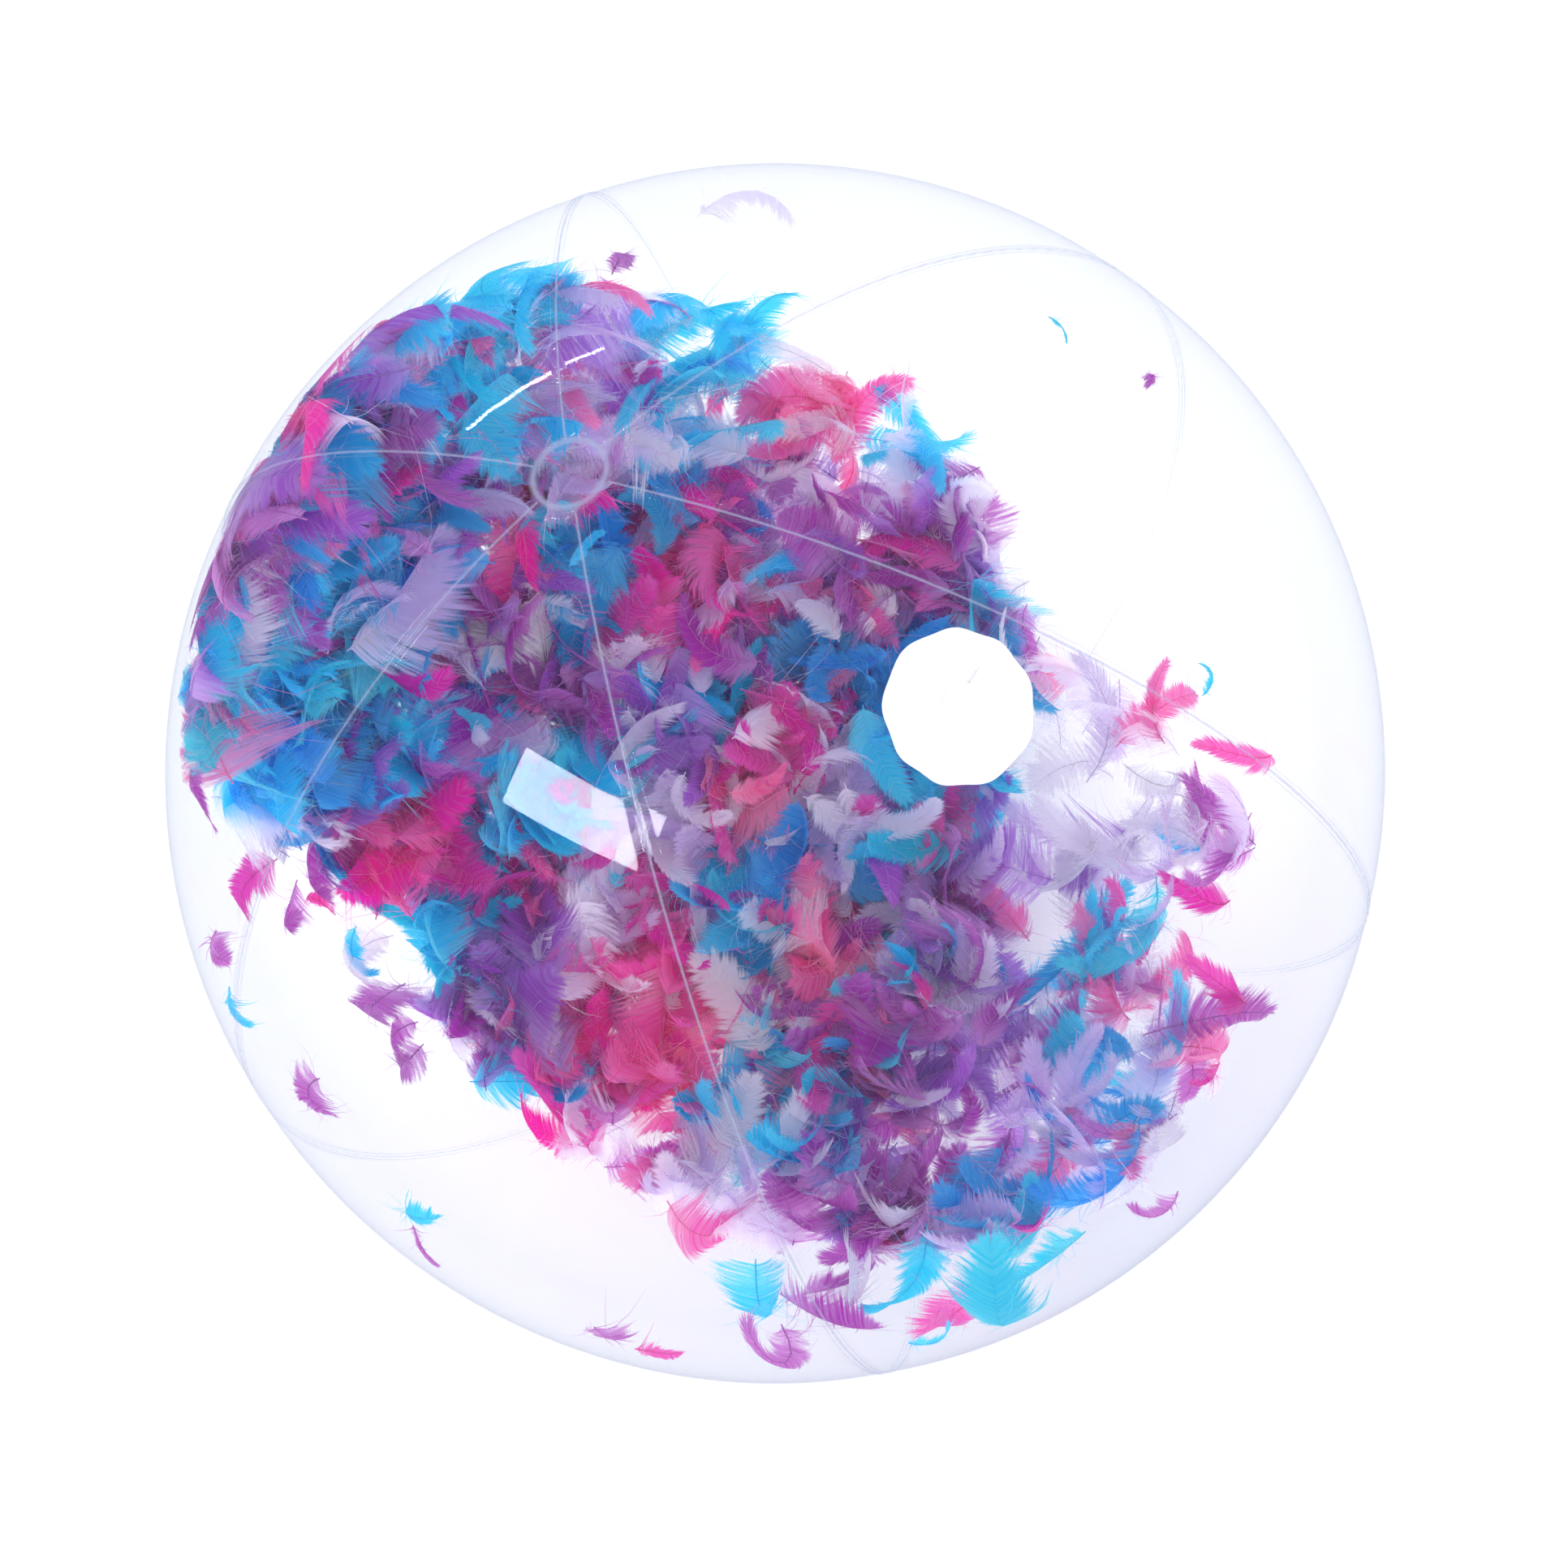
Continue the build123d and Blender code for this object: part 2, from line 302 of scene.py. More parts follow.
class Shader:
    """A small helper that adds and links nodes in one material."""

    def __init__(self, name):
        self.material = bpy.data.materials.new(name)
        self.material.use_nodes = True
        self.tree = self.material.node_tree
        self.tree.nodes.clear()

    def node(self, kind, inputs=None, **settings):
        made = self.tree.nodes.new(kind)
        for key, value in settings.items():
            setattr(made, key, value)
        for key, value in (inputs or {}).items():
            if isinstance(value, bpy.types.NodeSocket):
                self.tree.links.new(value, made.inputs[key])
            else:
                made.inputs[key].default_value = value
        return made

    def math(self, operation, first, second=0.0, third=0.0, clamp=False):
        inputs = {0: first, 1: second, 2: third}
        return self.node("ShaderNodeMath", inputs, operation=operation, use_clamp=clamp).outputs[0]

    def noise(self, scale, detail=2.0, vector=None):
        inputs = {"Scale": scale, "Detail": detail}
        inputs["Vector"] = vector or self.node("ShaderNodeTexCoord").outputs["Object"]
        return self.node("ShaderNodeTexNoise", inputs).outputs["Fac"]

    def ramp(self, factor, low, high):
        """Maps 0..1 to low..high."""
        made = self.node(
            "ShaderNodeMapRange", {"Value": factor, "To Min": low, "To Max": high}, clamp=True
        )
        return made.outputs["Result"]

    def blend_colours(self, factor, first, second):
        made = self.node("ShaderNodeMix", data_type="RGBA")
        for index, value in ((0, factor), (6, first), (7, second)):
            if isinstance(value, bpy.types.NodeSocket):
                self.tree.links.new(value, made.inputs[index])
            else:
                made.inputs[index].default_value = value
        return made.outputs[2]

    def bump(self, height, strength, distance):
        inputs = {"Height": height, "Strength": strength, "Distance": distance}
        return self.node("ShaderNodeBump", inputs).outputs["Normal"]

    def mix(self, factor, first, second):
        return self.node("ShaderNodeMixShader", {0: factor, 1: first, 2: second}).outputs[0]

    def output(self, surface):
        self.node("ShaderNodeOutputMaterial", {"Surface": surface})
        return self.material


def rgba(colour):
    return (*colour, 1.0)


def film_material(name, haze, rim):
    """Clear gloss vinyl: see-through face on, milkier and glossier towards its rim, and darkened there to a
    grey-blue by painted shade.
    """
    s = Shader(name)
    facing = s.node("ShaderNodeLayerWeight", {"Blend": 0.5}).outputs["Facing"]
    edge = s.math("POWER", facing, RIM_SHARPNESS)
    start, end = SLANT_RANGE
    slants = {"Value": facing, "From Min": start, "From Max": end, "To Max": SLANT_SHADE}
    slant = s.node("ShaderNodeMapRange", slants).outputs["Result"]
    line = s.node("ShaderNodeAttribute", attribute_name="line").outputs["Fac"]
    veil = s.math("ADD", s.math("MULTIPLY", edge, rim), haze, clamp=True)
    veil = s.math("ADD", veil, s.math("MULTIPLY", line, LINE_MILK), clamp=True)
    # Painted shade: the see-through colour turns a darker grey-blue at a slant and at the outline, so the
    # ball's edge shows.
    tint_and_shade = s.math("MULTIPLY_ADD", edge, RIM_SHADE, slant, clamp=True)
    tint = s.blend_colours(tint_and_shade, *FILM_TINT_AND_RIM_SHADE)
    clear = s.node("ShaderNodeBsdfTransparent", {"Color": tint}).outputs[0]
    milk = s.node("ShaderNodeBsdfTranslucent", {"Color": MILK_COLOUR}).outputs[0]
    body = s.mix(veil, clear, milk)
    mirror = {"Base Color": GLOSS_COLOUR, "Metallic": 1.0, "Roughness": 0.01}
    gloss = s.node("ShaderNodeBsdfPrincipled", mirror).outputs[0]
    shine = s.math("MULTIPLY_ADD", s.math("POWER", facing, MIRROR_SHARPNESS), MIRROR_RIM, MIRROR_FACE)
    return s.output(s.mix(shine, body, gloss))


def vinyl_material(name, colour, roughness, grain):
    """Soft moulded or printed vinyl, with a faint mottle and a fine surface."""
    s = Shader(name)
    cloud = s.noise(60.0, 3.0)
    shade = s.ramp(cloud, 0.94, 1.0)
    base = s.blend_colours(shade, rgba([0.8 * c for c in colour]), rgba(colour))
    normal = s.bump(s.noise(900.0, 3.0), grain, 0.0002)
    surface = s.node(
        "ShaderNodeBsdfPrincipled",
        {
            "Base Color": base,
            "Roughness": roughness,
            "Coat Weight": 0.3,
            "Coat Roughness": 0.15,
            "Normal": normal,
        },
    ).outputs[0]
    return s.output(surface)


def plume_material(name, deep, pale):
    """A dyed feather: light passes through it, and it thins out into separate barbs at its down and edges."""
    s = Shader(name)
    tone = s.node("ShaderNodeAttribute", attribute_name="tone").outputs["Fac"]
    vary = s.node("ShaderNodeAttribute", attribute_name="vary").outputs["Fac"]
    thin = s.node("ShaderNodeAttribute", attribute_name="thin").outputs["Fac"]
    barb = s.node("ShaderNodeAttribute", attribute_name="barb").outputs["Vector"]
    strands = s.noise(1.0, 3.0, barb)
    streak = s.math("SUBTRACT", strands, 0.5)
    dye = s.math("ADD", tone, s.math("MULTIPLY", streak, STREAK_DYE), clamp=True)
    colour = s.blend_colours(dye, rgba(pale), rgba(deep))
    shifted = s.node(
        "ShaderNodeHueSaturation",
        {"Hue": s.ramp(vary, 0.488, 0.512), "Value": s.ramp(vary, 0.88, 1.12), "Color": colour},
    ).outputs[0]
    face = s.node(
        "ShaderNodeBsdfPrincipled",
        {"Base Color": shifted, "Roughness": 0.75, "Specular IOR Level": 0.12, "Sheen Weight": 0.08},
    ).outputs[0]
    glow = s.node("ShaderNodeBsdfTranslucent", {"Color": shifted}).outputs[0]
    solid = s.mix(GLOW_SHARE, face, glow)
    gap = s.node("ShaderNodeBsdfTransparent", {"Color": (1, 1, 1, 1)}).outputs[0]
    room = s.math("SUBTRACT", s.math("MULTIPLY_ADD", streak, STREAK_GAPS, WEB_CLOSED), thin)
    cover = s.math("MULTIPLY", room, GAP_SHARPNESS, clamp=True)
    return s.output(s.mix(cover, gap, solid))


def floor_material():
    s = Shader("pale_floor")
    tint = s.blend_colours(s.noise(3.0, 2.0), (0.93, 0.935, 0.945, 1), (0.96, 0.96, 0.965, 1))
    inputs = {"Base Color": tint, "Roughness": 0.8}
    inputs |= {"Emission Color": (1, 1, 1, 1), "Emission Strength": 0.10}
    return s.output(s.node("ShaderNodeBsdfPrincipled", inputs).outputs[0])


# The film


def puckers(points):
    """How far the film stands in or out at each direction, in metres."""
    x, y, z = points.T
    azimuth = np.degrees(np.arctan2(y, x))
    polar = np.arccos(np.clip(z, -1, 1))
    ring = np.sqrt(x * x + y * y)
    step = (azimuth - FIRST_SEAM_AZIMUTH) % PANEL_ANGLE
    side = np.where(step < PANEL_ANGLE / 2, step, step - PANEL_ANGLE)
    away = np.abs(np.sin(np.radians(side))) * ring * BALL_RADIUS
    along = polar * BALL_RADIUS
    seam_number = np.round((azimuth - FIRST_SEAM_AZIMUTH - side) / PANEL_ANGLE)
    phase = 2.1 * seam_number + np.sign(side) * 0.8
    strength = 0.55 + 0.45 * np.sin(along / (31 * MM) + phase)
    gather = np.sin(2 * np.pi * along / PUCKER_SPACING + phase + 2.0 * np.sin(along / (23 * MM)))
    by_seam = PUCKER_HEIGHT * strength * gather * np.exp(-away / PUCKER_FADE)
    from_pole = ring * BALL_RADIUS
    ruff = np.exp(-np.abs(from_pole - CAP_RADIUS) / CAP_PUCKER_FADE)
    turn = np.radians(azimuth)
    by_cap = CAP_PUCKER_HEIGHT * ruff * np.sin(turn * CAP_PUCKER_COUNT + 1.3 * np.sin(turn * 4))
    swell = SWELL_HEIGHT * (1 - np.exp(-away / SWELL_FADE)) * np.sin(polar)
    broad = BROAD_HEIGHT * np.sin(3.1 * x + 1.0) * np.sin(4.3 * y + 2.0) * np.sin(3.7 * z + 0.5)
    return by_seam + by_cap + swell + broad


def sphere_points(polar, azimuth, height):
    """Points on the puckered ball, at angles in degrees and a height above its film."""
    ray = direction(azimuth, 180 - polar)
    flat = ray.reshape(-1, 3)
    radius = BALL_RADIUS + puckers(flat).reshape(ray.shape[:-1]) + height
    return ray * radius[..., None]


def shell_from(outer, inner):
    """Closes two matching grids of points into one thin shell."""
    rows, columns = outer.shape[:2]
    count = rows * columns
    index = np.arange(count).reshape(rows, columns)
    rim = np.concatenate([index[0, :-1], index[:-1, -1], index[-1, :0:-1], index[:0:-1, 0]])
    after = np.roll(rim, -1)
    top = grid_faces(rows, columns)
    below = grid_faces(rows, columns)[:, ::-1] + count
    wall = np.stack([rim, after, after + count, rim + count], axis=-1)[:, ::-1]
    points = np.concatenate([outer.reshape(-1, 3), inner.reshape(-1, 3)])
    return points, np.concatenate([top, below, wall])


def gore(azimuth):
    """One panel, whose sides stay half a weld's width from the welds' middles."""
    rows, columns = 181, 49
    end = math.degrees(math.asin(CAP_RADIUS / BALL_RADIUS))
    polar = np.linspace(end, 180 - end, rows)[:, None]
    half_weld = np.degrees(np.arcsin(SEAM_WIDTH / 2 / (BALL_RADIUS * np.sin(np.radians(polar)))))
    across = np.linspace(0, 1, columns)[None, :]
    eased = across + 0.12 * np.sin(2 * np.pi * across) / (2 * np.pi) * -1
    turn = azimuth + half_weld + (PANEL_ANGLE - 2 * half_weld) * eased
    polar = np.broadcast_to(polar, turn.shape)
    return shell_from(sphere_points(polar, turn, 0.0), sphere_points(polar, turn, -FILM))


def weld(azimuth):
    """A narrow doubled band with one pressed line along it, and how close each point is to the line."""
    rows, columns = 301, 13
    end = math.degrees(math.asin(CAP_RADIUS / BALL_RADIUS))
    polar = np.linspace(end, 180 - end, rows)[:, None]
    across = np.linspace(-1, 1, columns)[None, :]
    turn = azimuth + np.degrees(
        np.arcsin(across * SEAM_WIDTH / 2 / (BALL_RADIUS * np.sin(np.radians(polar))))
    )
    polar = np.broadcast_to(polar, turn.shape)
    press = 1 - 0.6 * np.exp(-((across / 0.3) ** 2))
    ends = np.where(np.abs(across) > 0.99, 0.15, 1.0)
    rise = SEAM_RISE * np.broadcast_to(press * ends, turn.shape)
    line = np.tile(np.broadcast_to(np.exp(-((across / 0.2) ** 2)), turn.shape).ravel(), 2)
    return *shell_from(sphere_points(polar, turn, rise), sphere_points(polar, turn, -FILM)), line


def round_patch(radius, hole, rise, under, sides=0, wobble=0.0):
    """A soft-edged disc or ring that follows the ball round +Z, and how close each point is to its rim."""
    rings, spokes = 14, 144
    share = np.linspace(0, 1, rings)[:, None] ** 0.7
    turn = np.linspace(0, 2 * np.pi, spokes, endpoint=False)[None, :]
    edge = radius * (1 + wobble * np.cos(sides * turn + 0.7 * np.sin(2 * turn)))
    reach = hole + (edge - hole) * share
    height = rise * np.sqrt(np.clip(1 - share**18, 0, 1)) + 0 * reach

    def surface(level):
        far = BALL_RADIUS + level
        return np.stack(
            [reach * np.cos(turn), reach * np.sin(turn), np.sqrt(far**2 - reach**2)], axis=-1
        )

    top, bottom = surface(height), surface(under + 0 * reach)
    count = rings * spokes
    spoke = np.arange(spokes)
    after = (spoke + 1) % spokes
    upper = grid_faces(rings, spokes, closed=True)
    inner_wall = np.stack([spoke, after, count + after, count + spoke], -1)
    outer_wall = (inner_wall + (rings - 1) * spokes)[:, ::-1]
    faces = np.concatenate([upper, upper[:, ::-1] + count, outer_wall, inner_wall])
    line = np.tile(np.exp(-(((share - 0.86) / 0.07) ** 2)) + 0 * turn, (2, 1)).ravel()
    points = np.concatenate([top.reshape(-1, 3), bottom.reshape(-1, 3)])
    return points, faces[:, ::-1], line


def film_pieces():
    clear = film_material("clear_film", 0.003, 0.02)
    welded = film_material("weld_film", 0.01, 0.20)
    for index, name in enumerate(PANELS):
        points, faces = gore(FIRST_SEAM_AZIMUTH + index * PANEL_ANGLE)
        make_object(f"film_{name}", points, faces, "ball", [name], clear)
    for index, name in enumerate(SEAMS):
        points, faces, line = weld(FIRST_SEAM_AZIMUTH + index * PANEL_ANGLE)
        make_object(f"welded_{name}", points, faces, "ball", [name], welded, {"line": line})
    for name, sign in (("top_cap", 1), ("bottom_cap", -1)):
        points, faces, line = round_patch(CAP_RADIUS * 1.04, 0.4 * MM, 0.5 * MM, -FILM)
        points = points * np.array((1, sign, sign))
        make_object(f"clear_{name}", points, faces, "ball", [name], welded, {"line": line})


def valve_turn():
    return np.array(Matrix.Rotation(math.radians(VALVE_LEAN), 3, "X"))


def valve_pieces():
    white = vinyl_material("white_vinyl", (0.93, 0.93, 0.94), 0.32, 0.2)
    soft = vinyl_material("valve_vinyl", (0.86, 0.87, 0.90), 0.45, 0.3)
    size = (PATCH_RADIUS, COLLAR_RADIUS, PATCH_RISE + 0.5 * MM, 0.05 * MM)
    points, faces, _ = round_patch(*size, PATCH_CORNERS, PATCH_WOBBLE)
    points = points @ valve_turn().T
    make_object("white_patch", points, faces, "ball", ["valve_patch"], white)
    for name in ("valve_flange", "valve_stem", "valve_plug", "valve_flap"):
        node = frame["nodes"][name]
        node.data.materials.clear()
        node.data.materials.append(soft)
    points, faces = strap()
    points = points @ valve_turn().T
    loop = make_object("looped_strap", points, faces, None, ["plug_strap"], soft)
    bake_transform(loop)


def strap():
    """The flat loop from the stem's lip, out and back over to the plug's head, along +X of the valve."""
    corners = np.array(STRAP_PATH)
    share = np.linspace(0, len(corners) - 1, 40)
    path = np.stack([np.interp(share, np.arange(len(corners)), corners[:, k]) for k in (0, 1)], -1)
    for _ in range(3):
        path[1:-1] = (path[:-2] + 2 * path[1:-1] + path[2:]) / 4
    ahead = unit(np.gradient(path, axis=0))
    side = np.stack([-ahead[:, 1], ahead[:, 0]], -1)
    across, thick = (np.array(STRAP_OUTLINE) * STRAP_HALF).T
    flat = path[:, None] + side[:, None] * thick[None, :, None]
    across = np.broadcast_to(across, flat.shape[:2])
    points = np.stack([flat[..., 0], across, flat[..., 1] + VALVE_FACE / MM], -1)
    rings, corner_count = flat.shape[:2]
    quads = grid_faces(rings, corner_count, closed=True)
    first_end = np.array([[0, 1, 2, 3], [0, 3, 4, 7], [4, 5, 6, 7]])
    last_end = first_end + (rings - 1) * corner_count
    return points.reshape(-1, 3) * MM, np.concatenate([quads, first_end[:, ::-1], last_end])


# The feathers


def quill_line(length, bend, curl, twist, steps=32):
    """The quill's stations and points, and the ways across it and out of it, past its tip too."""
    along = np.linspace(0, 1.3, steps)
    sideways = bend * (along - 0.35)
    upward = curl * (along**1.3 - 0.25)
    ahead = np.stack(
        [np.cos(sideways) * np.cos(upward), np.sin(sideways) * np.cos(upward), np.sin(upward)], -1
    )
    level = np.stack([-np.sin(sideways), np.cos(sideways), 0 * along], -1)
    above = np.cross(ahead, level)
    turn = (twist * (along - 0.4))[:, None]
    across = level * np.cos(turn) + above * np.sin(turn)
    out = np.cross(ahead, across)
    step = length * (along[1] - along[0])
    place = np.concatenate([np.zeros((1, 3)), np.cumsum((ahead[1:] + ahead[:-1]) / 2 * step, axis=0)])
    return along * length, place, across, out


def on_quill(line, ahead, sideways, lift):
    """Bends flat feather coordinates round the quill's line."""
    stations, place, across, out = line
    flat = np.clip(ahead, 0, stations[-1]).ravel()

    def at(table):
        return np.stack([np.interp(flat, stations, table[:, k]) for k in range(3)], -1)

    bent = at(place) + at(across) * sideways.reshape(-1, 1) + at(out) * lift.reshape(-1, 1)
    return bent.reshape(*ahead.shape, 3)


def vane(rng, line, length, width, kind):
    """The web of barbs as one sheet, whose rows follow the barbs. Returns points, faces and shading values."""
    rows, columns = 18, 9
    root = 1 - (1 - np.linspace(0.03, 1.0, rows)[:, None]) ** 1.4
    across = np.linspace(-1, 1, columns)[None, :]
    away = np.abs(across)
    right = across > 0
    downy = np.clip((kind["down_end"] - root) / 0.22, 0, 1)
    ragged = 1 + rng.normal(0, kind["ragged"], (rows, 2))
    for side in (0, 1):
        splits = rng.integers(4, rows - 3, rng.integers(0, 3))
        ragged[splits, side] *= rng.uniform(0.6, 0.85, len(splits))
    ragged = np.where(right, ragged[:, 1:], ragged[:, :1])
    edge_ahead = length * (root + kind["sweep"] * np.sqrt(root) * (1 - root))
    rounding = np.clip((edge_ahead / length - kind["widest"]) / (1 - kind["widest"]), 0, 1)
    rise = np.clip(edge_ahead / length / 0.30, 0, 1) ** 0.6
    reach = width / 2 * (0.02 + rise * np.sqrt(1 - rounding**2)) * ragged * (1 + kind["down"] * downy)
    out = reach * away**0.95
    quill_ahead = 0.88 * root * length
    ahead = quill_ahead + (edge_ahead - quill_ahead) * away**1.3
    phase = rng.uniform(0, 2 * np.pi, 2)
    ripple = np.sin(root * rng.uniform(5, 11) + np.where(right, phase[1], phase[0]))
    fold = rng.normal(0, kind["fold"], 2)
    lift = kind["cup"] * out**2 / width + out * np.where(right, fold[1], fold[0])
    lift = lift + 0.08 * width * ripple * away**2
    lift = lift + downy * away**2 * rng.normal(0, 0.12, (rows, 1)) * width
    points = on_quill(line, ahead, out * across / np.maximum(away, 0.01), lift)
    edge = np.clip((away - 0.25) / 0.75, 0, 1) ** 1.3
    thin = np.maximum(downy * (0.35 + 0.5 * away), edge * kind["soft"]) + 0 * root
    tone = (1 - 0.75 * downy) * (1 - 0.30 * away**2) * (1 - 0.25 * np.clip((root - 0.8) / 0.2, 0, 1))
    barb = np.stack([root * length / MM * 0.75 + 0 * out, out / MM * 0.05, 0 * out], -1)
    return points.reshape(-1, 3), grid_faces(rows, columns), tone.ravel(), thin.ravel(), barb.reshape(-1, 3)


def rods(line_points, thickness):
    """Thin tapering three-sided rods along lines of points, one line to a row."""
    count, rings = line_points.shape[:2]
    ahead = unit(np.gradient(line_points, axis=1) + 1e-9)
    side = unit(np.cross(ahead, SKEW_WAY))
    up = np.cross(ahead, side)
    radius = thickness / 2 * (1 - 0.8 * np.linspace(0, 1, rings))[None, :, None, None]
    corner = (np.arange(3) * 2 * np.pi / 3)[None, None, :, None]
    spread = side[:, :, None] * np.cos(corner) + up[:, :, None] * np.sin(corner)
    points = line_points[:, :, None] + radius * spread
    faces = np.concatenate([grid_faces(rings, 3, closed=True, start=k * rings * 3) for k in range(count)])
    return points.reshape(-1, 3), faces


def quill(line, length):
    stations, place = line[:2]
    share = np.linspace(0, 0.96, 8) * length
    middle = np.stack([np.interp(share, stations, place[:, k]) for k in range(3)], -1)
    return rods(middle[None], QUILL_THICKNESS)


def hairs(lines, thickness):
    """Flat tapering hairs along lines of points, one line to a row."""
    count, rings = lines.shape[:2]
    ahead = unit(np.gradient(lines, axis=1) + 1e-9)
    side = unit(np.cross(ahead, SKEW_WAY))
    half = (thickness / 2 * (1 - 0.85 * np.linspace(0, 1, rings)))[None, :, None]
    points = np.stack([lines - side * half, lines + side * half], axis=2)
    faces = np.concatenate([grid_faces(rings, 2, start=k * rings * 2) for k in range(count)])
    return points.reshape(-1, 3), faces


def wisps(rng, line, length, width):
    """The loose barbs of the down, which fly from the quill's lower end, and those that stray off the web."""
    count, rings = WISP_COUNT, 4
    low = np.arange(count)[:, None] < DOWN_WISP_COUNT
    starts = rng.uniform(0.02, 0.34, (count, 1)), rng.uniform(0.3, 0.9, (count, 1))
    root = np.where(low, *starts) * length
    side = np.where(rng.random((count, 1)) < 0.5, -1.0, 1.0)
    share = np.linspace(0, 1, rings)[None, :]
    spans = rng.uniform(0.35, 0.95, (count, 1)), rng.uniform(0.5, 0.72, (count, 1))
    reach = width * np.where(low, *spans) * share
    sway = rng.normal(0, 0.5, (count, 1)) * share
    ahead = root + reach * np.cos(0.9 + sway)
    fly = np.where(low, 0.5, 0.12)
    lift = reach * fly * (rng.normal(0, 1, (count, 1)) + rng.normal(0, 1, (count, 1)) * share)
    return hairs(on_quill(line, ahead, side * reach * np.sin(0.9 + sway), lift), WISP_THICKNESS)


# Body feathers, slim curled ones, and loose downy ones: how common each is, its length in mm, its width as a
# share of that, how far its barbs sweep ahead and where it starts to narrow, how deeply it is cupped, how much
# wider its down is and where that ends, how it bends, curls and twists, how its sides fold, and how ragged and
# soft its edge is
KINDS = (
    {
        "share": 0.34, "length": (42, 80), "slim": (0.36, 0.54), "sweep": 0.30, "widest": 0.55, "cup": 0.8,
        "down": 0.3, "down_end": 0.42, "bend": 0.8, "curl": (0.3, 2.1), "twist": 0.6, "fold": 0.4,
        "ragged": 0.04, "soft": 1.20,
    },
    {
        "share": 0.44, "length": (52, 98), "slim": (0.18, 0.32), "sweep": 0.30, "widest": 0.48, "cup": 0.9,
        "down": 0.5, "down_end": 0.34, "bend": 1.9, "curl": (0.6, 2.6), "twist": 0.9, "fold": 0.5,
        "ragged": 0.04, "soft": 1.10,
    },
    {
        "share": 0.22, "length": (40, 70), "slim": (0.55, 0.85), "sweep": 0.22, "widest": 0.45, "cup": 0.3,
        "down": 0.5, "down_end": 0.70, "bend": 0.7, "curl": (0.1, 1.4), "twist": 0.7, "fold": 0.5,
        "ragged": 0.12, "soft": 1.30,
    },
)


def feather(rng, kind=None, length=None):
    """One feather, with x along the quill and z out of its curl, and its shading values."""
    kind = kind or KINDS[rng.choice(len(KINDS), p=[k["share"] for k in KINDS])]
    length = (length or rng.uniform(*kind["length"])) * MM
    width = length * rng.uniform(*kind["slim"])
    bend = rng.normal(0, kind["bend"])
    curl = rng.uniform(*kind["curl"])
    twist = rng.normal(0, kind["twist"])
    line = quill_line(length, bend, curl, twist)
    web, web_faces, tone, thin, barb = vane(rng, line, length, width, kind)
    points, faces = [web], [web_faces]
    for more, more_faces in (quill(line, length), wisps(rng, line, length, width)):
        faces.append(more_faces + sum(len(part) for part in points))
        points.append(more)
    bare = sum(len(part) for part in points[1:])
    vary = rng.random()
    seeded = barb + np.array((60 * vary, 0, 90 * vary))
    shading = {
        "tone": np.concatenate([tone * rng.uniform(0.65, 1.15), np.full(bare, 0.3)]),
        "thin": np.concatenate([thin, np.zeros(bare)]),
        "vary": np.full(len(web) + bare, vary),
        "barb": np.concatenate([seeded, np.zeros((bare, 3))]),
    }
    return np.concatenate(points) - line[1][len(line[1]) // 3], np.concatenate(faces), shading


def keep_inside(points, limit):
    """Presses what would pass the film back against it."""
    distance = np.linalg.norm(points, axis=1)
    room = np.clip((limit - distance) / PRESS_SOFTNESS, -30, 30)
    pressed = np.where(room > 25, distance, limit - PRESS_SOFTNESS * np.log1p(np.exp(room)))
    return points * (pressed / distance)[:, None]


def lay_feather(rng, made, place, lean, turn=None):
    """Lays a feather on the wall, tipped by about lean degrees, with its quill at a given turn or any."""
    points, faces, shading = made
    inward = -unit(place)
    tipped = unit(inward + np.tan(np.radians(lean)) * rng.normal(0, 0.5, 3))
    turn = rng.uniform(0, 2 * np.pi) if turn is None else math.radians(turn)
    east = unit(np.cross(UP, -inward))
    way = east * math.cos(turn) + np.cross(-inward, east) * math.sin(turn)
    side = unit(way - tipped * (way @ tipped))
    turned = points @ np.stack([side, np.cross(tipped, side), tipped])
    limit = BALL_RADIUS - FILM - WALL_GAP - rng.uniform(0, WALL_SPREAD) * MM
    return keep_inside(turned + place, limit), faces, shading


def pile_axes():
    """The way to the bed's middle, and the two ways across it that its turns are counted from."""
    middle = direction(PILE_AZIMUTH, PILE_FROM_BOTTOM)
    across = unit(np.cross(middle, UP))
    return middle, across, np.cross(middle, across)


def share_of_reach(ray):
    """How far out a direction lies in the bed, as a share of the bed's reach that way."""
    middle, across, along = pile_axes()
    turn = math.degrees(math.atan2(ray @ along, ray @ across)) % 360
    turns, reaches = zip(*PILE_EDGE)
    out = math.degrees(math.acos(min(ray @ middle, 1.0)))
    return out / float(np.interp(turn, turns, reaches, period=360))


def paleness(ray):
    """0 where the bed is thick and deep in colour, up to 1 at its thin and pale spots."""
    found = 0.0
    for azimuth, from_bottom, reach, strength in PALE_SPOTS:
        away = math.degrees(math.acos(np.clip(ray @ direction(azimuth, from_bottom), -1, 1)))
        found = max(found, strength * min(max((reach - away) / PALE_RAMP, 0), 1))
    return found


def bed_depth(ray):
    return PILE_DEPTH * (1 - min(share_of_reach(ray), 1) ** 2.2) * (1 - 0.55 * paleness(ray)) + 6 * MM


def pile_places(rng):
    """Places through the bed, each with its lean, which grows from the wall inwards, and its paleness."""
    places = []
    while len(places) < PILE_COUNT:
        ray = unit(rng.normal(0, 1, 3))
        share, pale = share_of_reach(ray), paleness(ray)
        if rng.random() > (BED_END - share) / BED_FADE or rng.random() < PALE_GAPS * pale:
            continue
        depth = rng.random() ** 1.2
        place = ray * (BALL_RADIUS - 2 * MM - bed_depth(ray) * depth)
        places.append((place, 12 + 38 * depth, pale))
    return places


